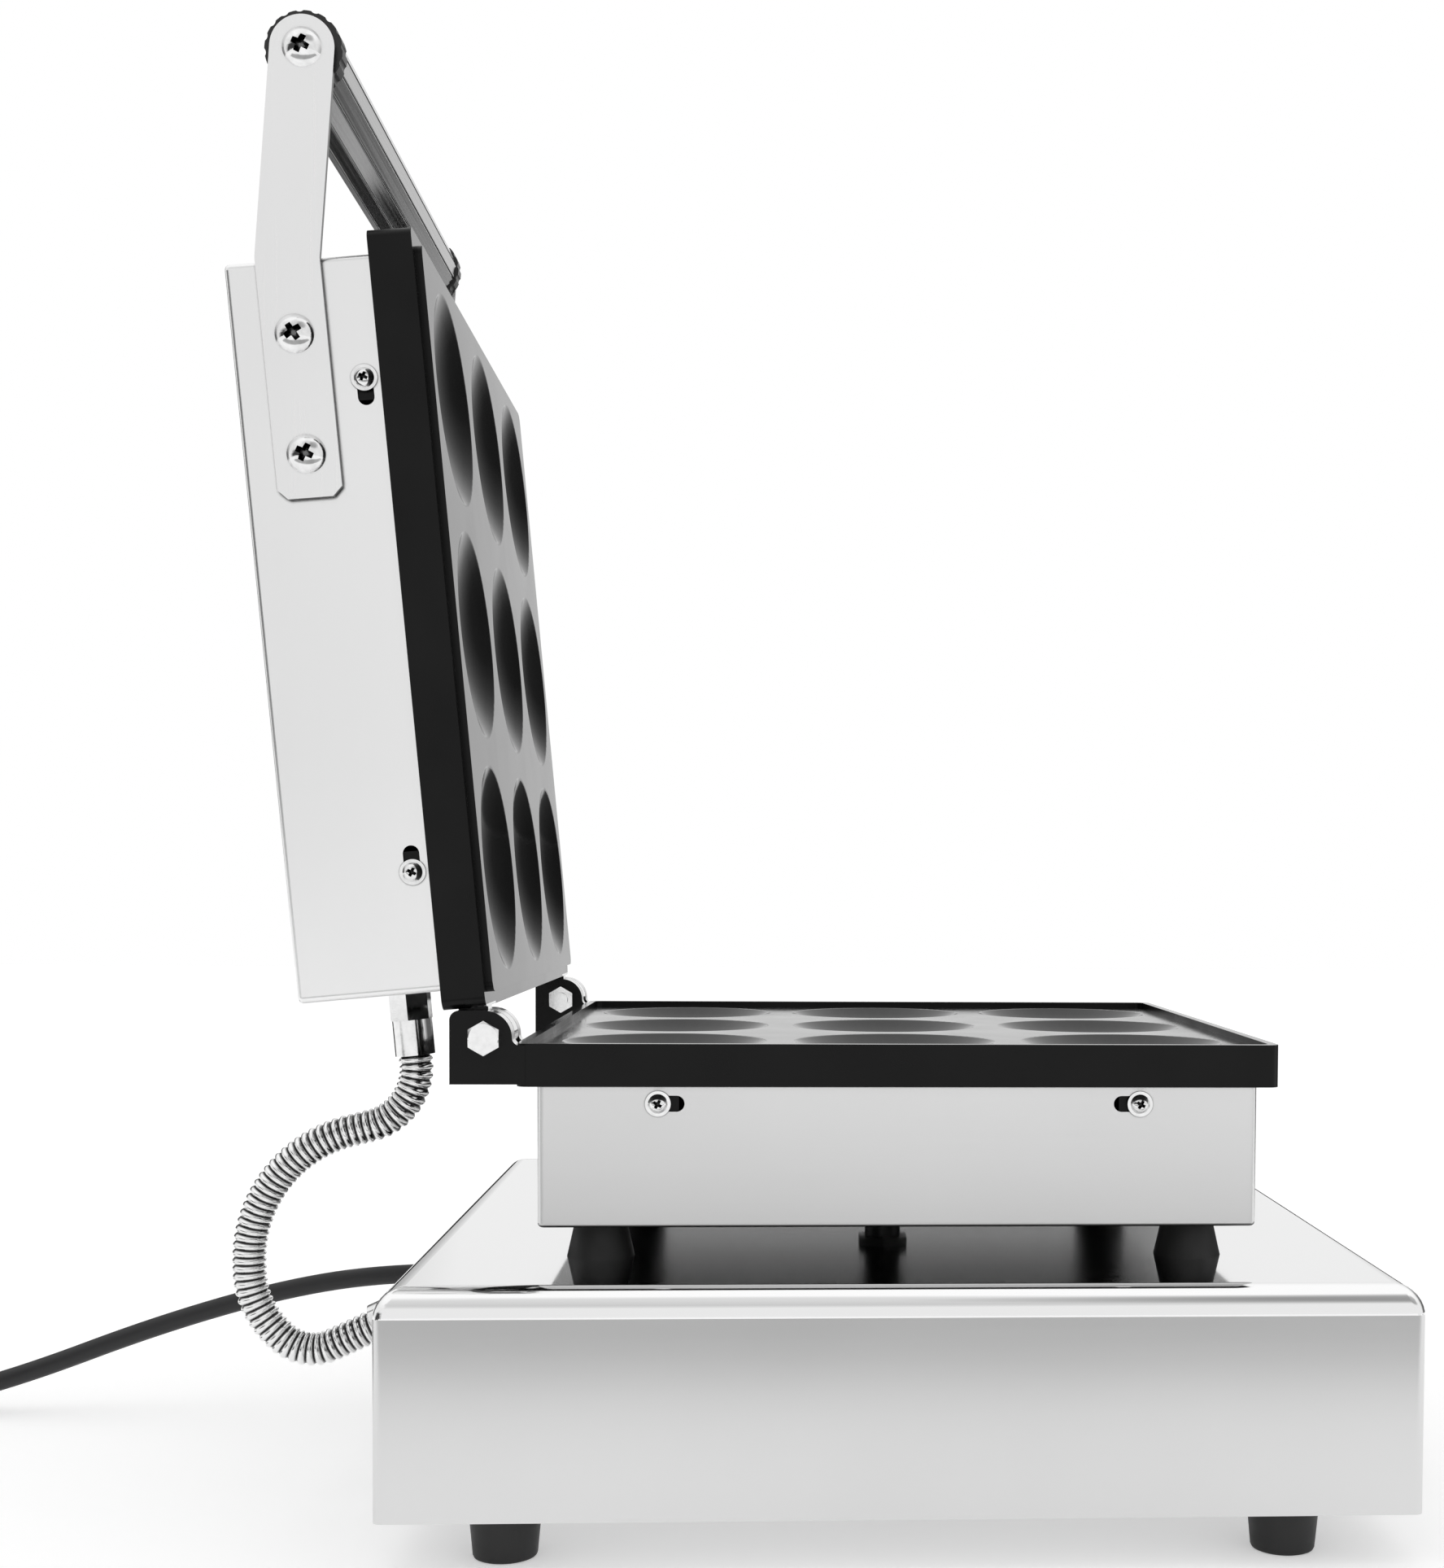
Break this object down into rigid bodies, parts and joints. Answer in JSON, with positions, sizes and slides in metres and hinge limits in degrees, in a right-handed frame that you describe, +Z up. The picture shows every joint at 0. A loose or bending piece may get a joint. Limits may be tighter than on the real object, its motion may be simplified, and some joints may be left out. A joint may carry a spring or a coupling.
{
  "type": "donut maker",
  "caption": "Electric donut maker: stainless base, black coated mould plates with round dishes, lid on a rear hinge with a bar handle, metal wire conduit and mains cord.",
  "frame": {"origin": "floor point under the middle of the machine's own box, its free cord left out", "axes": "+Z up, the lid's hinge to +Y, the controls to -Y, +X to the right of a user who faces the controls"},
  "size_m": [0.416, 0.9081, 0.649],
  "materials": {
    "polished_steel": "polished top, satin sides",
    "sheet_steel": "satin",
    "coated_casting": "semi-gloss non-stick coating on cast aluminium",
    "rubber": "matt",
    "bright_fastener": "bright plated",
    "hose_metal": "bright",
    "threaded_tube": "dark",
    "grip_aluminium": "anodised",
    "black_plastic": "matt",
    "red_plastic": "gloss",
    "lamp_lens": "clear tinted",
    "heater_sheath": "dull",
    "mineral_wool": "fibrous",
    "pale_plastic": "matt",
    "cord_jacket": "matt"
  },
  "bodies": {
    "base": {"base_bottom_plate": "sheet_steel", "base_feet": "rubber", "base_hose_elbow": "hose_metal", "base_shell": "polished_steel", "conduit_hose": "hose_metal", "conduit_locknuts": "threaded_tube", "control_panel": "sheet_steel", "cord_gland": "black_plastic", "cord_gland_nut": "black_plastic", "elbow_locknut": "hose_metal", "foot_nuts": "bright_fastener", "foot_screws": "bright_fastener", "hinge_bolts": "bright_fastener", "hinge_nuts": "bright_fastener", "leg_bolts": "bright_fastener", "leg_nuts": "bright_fastener", "lower_clamp_screws": "bright_fastener", "lower_element_clamps": "sheet_steel", "lower_heating_element": "heater_sheath", "lower_housing": "sheet_steel", "lower_housing_screws": "bright_fastener", "lower_housing_washers": "bright_fastener", "lower_insulation": "mineral_wool", "lower_mould_plate": "coated_casting", "mains_cord": "cord_jacket", "mains_cord_coil": "cord_jacket", "mains_plug": "cord_jacket", "panel_screws": "bright_fastener", "pilot_lamps": "lamp_lens", "switch_housing": "black_plastic", "terminal_block": "pale_plastic", "thermostat_body": "black_plastic", "thermostat_bulb": "heater_sheath", "timer_body": "black_plastic", "unit_legs": "rubber", "wire_conduit": "threaded_tube"},
    "lid": {"arm_nuts": "bright_fastener", "arm_screws": "bright_fastener", "bar_screws": "bright_fastener", "handle_arm_left": "sheet_steel", "handle_arm_right": "sheet_steel", "handle_bar": "grip_aluminium", "handle_end_caps": "black_plastic", "lid_hose_ferrule": "hose_metal", "lid_hose_gland": "hose_metal", "upper_clamp_screws": "bright_fastener", "upper_element_clamps": "sheet_steel", "upper_heating_element": "heater_sheath", "upper_housing": "sheet_steel", "upper_housing_screws": "bright_fastener", "upper_housing_washers": "bright_fastener", "upper_insulation": "mineral_wool", "upper_mould_plate": "coated_casting"},
    "thermostat_dial": {"thermostat_knob": "black_plastic", "thermostat_shaft": "heater_sheath"},
    "timer_dial": {"timer_knob": "black_plastic", "timer_shaft": "heater_sheath"},
    "rocker": {"switch_rocker": "red_plastic"}
  },
  "joints": [
    {"name": "lid_hinge", "type": "hinge", "parent": "base", "child": "lid", "pos_m": [0, 0.14947, 0.217], "axis": [1, 0, 0], "range_deg": [0, 95.4], "deforming": ["conduit_hose"]},
    {"name": "thermostat_turn", "type": "hinge", "parent": "base", "child": "thermostat_dial", "pos_m": [0.058, -0.24753, 0.069], "axis": [0, 1, 0], "range_deg": [0, 270]},
    {"name": "timer_turn", "type": "hinge", "parent": "base", "child": "timer_dial", "pos_m": [-0.058, -0.24753, 0.069], "axis": [0, 1, 0], "range_deg": [0, 300]},
    {"name": "rocker_tip", "type": "hinge", "parent": "base", "child": "rocker", "pos_m": [0, -0.24653, 0.063], "axis": [1, 0, 0], "range_deg": [0, 14]}
  ]
}
